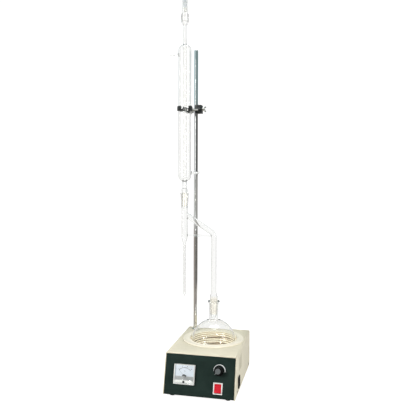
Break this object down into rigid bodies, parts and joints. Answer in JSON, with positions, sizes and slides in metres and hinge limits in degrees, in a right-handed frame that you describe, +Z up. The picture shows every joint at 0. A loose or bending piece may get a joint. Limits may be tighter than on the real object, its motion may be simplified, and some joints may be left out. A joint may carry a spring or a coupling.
{
  "type": "dean-stark water distillation apparatus",
  "caption": "Heating-mantle base with a sloping control panel, a round flask, a graduated water trap with a side arm, a straight condenser, a drying tube, and a stand rod with a clamp.",
  "frame": {"origin": "middle of the base plate's pressed underside; the feet reach 7 mm below it", "axes": "+Z up along the stand rod, -Y towards the control panel, +X to the right seen from the front"},
  "size_m": [0.234, 0.2961, 1.1835],
  "materials": {
    "cream_paint": "satin powder coat",
    "base_metal": "mill finish",
    "black_panel": "satin",
    "black_plastic": "satin",
    "white_plastic": "gloss",
    "clear_plastic": "clear",
    "dial_card": "matt",
    "red_plastic": "gloss",
    "grey_plastic": "satin",
    "rubber": "matt",
    "chrome": "polished",
    "zinc": "plated",
    "black_casting": "satin",
    "glass": "clear",
    "glass_cloth": "woven",
    "heater_wire": "oxidised",
    "wool": "loose",
    "circuit_board": "lacquered",
    "desiccant": "granular",
    "red_rubber": "matt"
  },
  "bodies": {
    "base": {"base_plate": "base_metal", "control_board": "circuit_board", "cover_screw_front_left": "zinc", "cover_screw_front_right": "zinc", "cover_screw_rear_left": "zinc", "cover_screw_rear_right": "zinc", "foot_front_left": "rubber", "foot_front_right": "rubber", "foot_rear_left": "rubber", "foot_rear_right": "rubber", "front_panel": "black_panel", "heating_coil": "heater_wire", "housing_cover": "cream_paint", "insulation_bowl": "wool", "mantle_flange": "cream_paint", "mantle_liner": "glass_cloth", "mantle_shell": "base_metal", "meter_case": "white_plastic", "meter_cover": "clear_plastic", "meter_dial": "dial_card", "potentiometer_body": "black_plastic", "power_inlet": "black_plastic", "rear_panel": "cream_paint", "rod_collar": "zinc", "rod_lock_nut": "zinc", "rod_washer": "zinc", "stand_rod": "chrome", "switch_frame": "white_plastic", "terminal_block": "white_plastic", "triac": "black_plastic", "triac_heatsink": "base_metal"},
    "heat_knob": {"heat_knob": "black_plastic", "knob_cap": "grey_plastic", "potentiometer_shaft": "zinc"},
    "switch_rocker": {"switch_rocker": "red_plastic"},
    "meter_pointer": {"meter_pointer": "red_plastic"},
    "zero_screw": {"meter_zero_screw": "black_plastic"},
    "flask": {"flask": "glass"},
    "water_trap": {"water_trap": "glass"},
    "condenser": {"condenser": "glass"},
    "drying_tube": {"drying_tube": "glass", "lower_wool_plug": "wool", "desiccant": "desiccant", "upper_wool_plug": "wool"},
    "stopper": {"drying_stopper": "red_rubber", "vent_tube": "glass"},
    "clamp": {"boss_head": "black_casting", "clamp_arm": "black_casting", "fixed_jaw": "black_casting", "fixed_jaw_pad": "rubber", "jaw_pin": "zinc", "jaw_stud": "zinc"},
    "rod_thumb_screw": {"rod_thumb_screw": "zinc"},
    "arm_thumb_screw": {"arm_thumb_screw": "zinc"},
    "moving_jaw": {"moving_jaw": "black_casting", "moving_jaw_pad": "rubber"},
    "wing_nut": {"jaw_wing_nut": "zinc"}
  },
  "joints": [
    {"name": "heat_knob_turn", "type": "hinge", "parent": "base", "child": "heat_knob", "pos_m": [0.0532, -0.12614, 0.0705], "axis": [0, 0.9626, -0.2711], "range_deg": [0, 270]},
    {"name": "power_rocker", "type": "hinge", "parent": "base", "child": "switch_rocker", "pos_m": [0.0521, -0.13728, 0.02616], "axis": [1, 0, 0], "range_deg": [0, 20]},
    {"name": "meter_pointer_swing", "type": "hinge", "parent": "base", "child": "meter_pointer", "pos_m": [-0.0417, -0.13162, 0.05105], "axis": [0, 0.9626, -0.2711], "range_deg": [0, 90]},
    {"name": "zero_screw_turn", "type": "hinge", "parent": "base", "child": "zero_screw", "pos_m": [-0.0417, -0.13569, 0.03662], "axis": [0, 0.9626, -0.2711], "range_deg": [-60, 60]},
    {"name": "flask_lift", "type": "slide", "parent": "base", "child": "flask", "axis": [0, 0, 1], "range_m": [0, 0.06]},
    {"name": "trap_lift", "type": "slide", "parent": "flask", "child": "water_trap", "axis": [0, 0, 1], "range_m": [0, 0.052]},
    {"name": "condenser_lift", "type": "slide", "parent": "water_trap", "child": "condenser", "axis": [0, 0, 1], "range_m": [0, 0.041]},
    {"name": "drying_tube_lift", "type": "slide", "parent": "condenser", "child": "drying_tube", "axis": [0, 0, 1], "range_m": [0, 0.03]},
    {"name": "stopper_lift", "type": "slide", "parent": "drying_tube", "child": "stopper", "axis": [0, 0, 1], "range_m": [0, 0.025]},
    {"name": "clamp_height", "type": "slide", "parent": "base", "child": "clamp", "axis": [0, 0, 1], "range_m": [-0.02, 0.13]},
    {"name": "rod_thumb_screw_turn", "type": "hinge", "parent": "clamp", "child": "rod_thumb_screw", "pos_m": [-0.0725, 0.1226, 0.8075], "axis": [0, 1, 0], "range_deg": [0, 180]},
    {"name": "arm_thumb_screw_turn", "type": "hinge", "parent": "clamp", "child": "arm_thumb_screw", "pos_m": [-0.0595, 0.1226, 0.8075], "axis": [1, 0, 0], "range_deg": [0, 180]},
    {"name": "jaw_open", "type": "hinge", "parent": "clamp", "child": "moving_jaw", "pos_m": [-0.0782, 0.0776, 0.799], "axis": [0, 0, 1], "range_deg": [0, 18]},
    {"name": "wing_nut_back_off", "type": "slide", "parent": "clamp", "child": "wing_nut", "axis": [1, 0, 0], "range_m": [0, 0.0056]}
  ],
  "couplings": [
    {"joint": "wing_nut_back_off", "follows": "jaw_open", "m_per_rad": 0.0175}
  ]
}
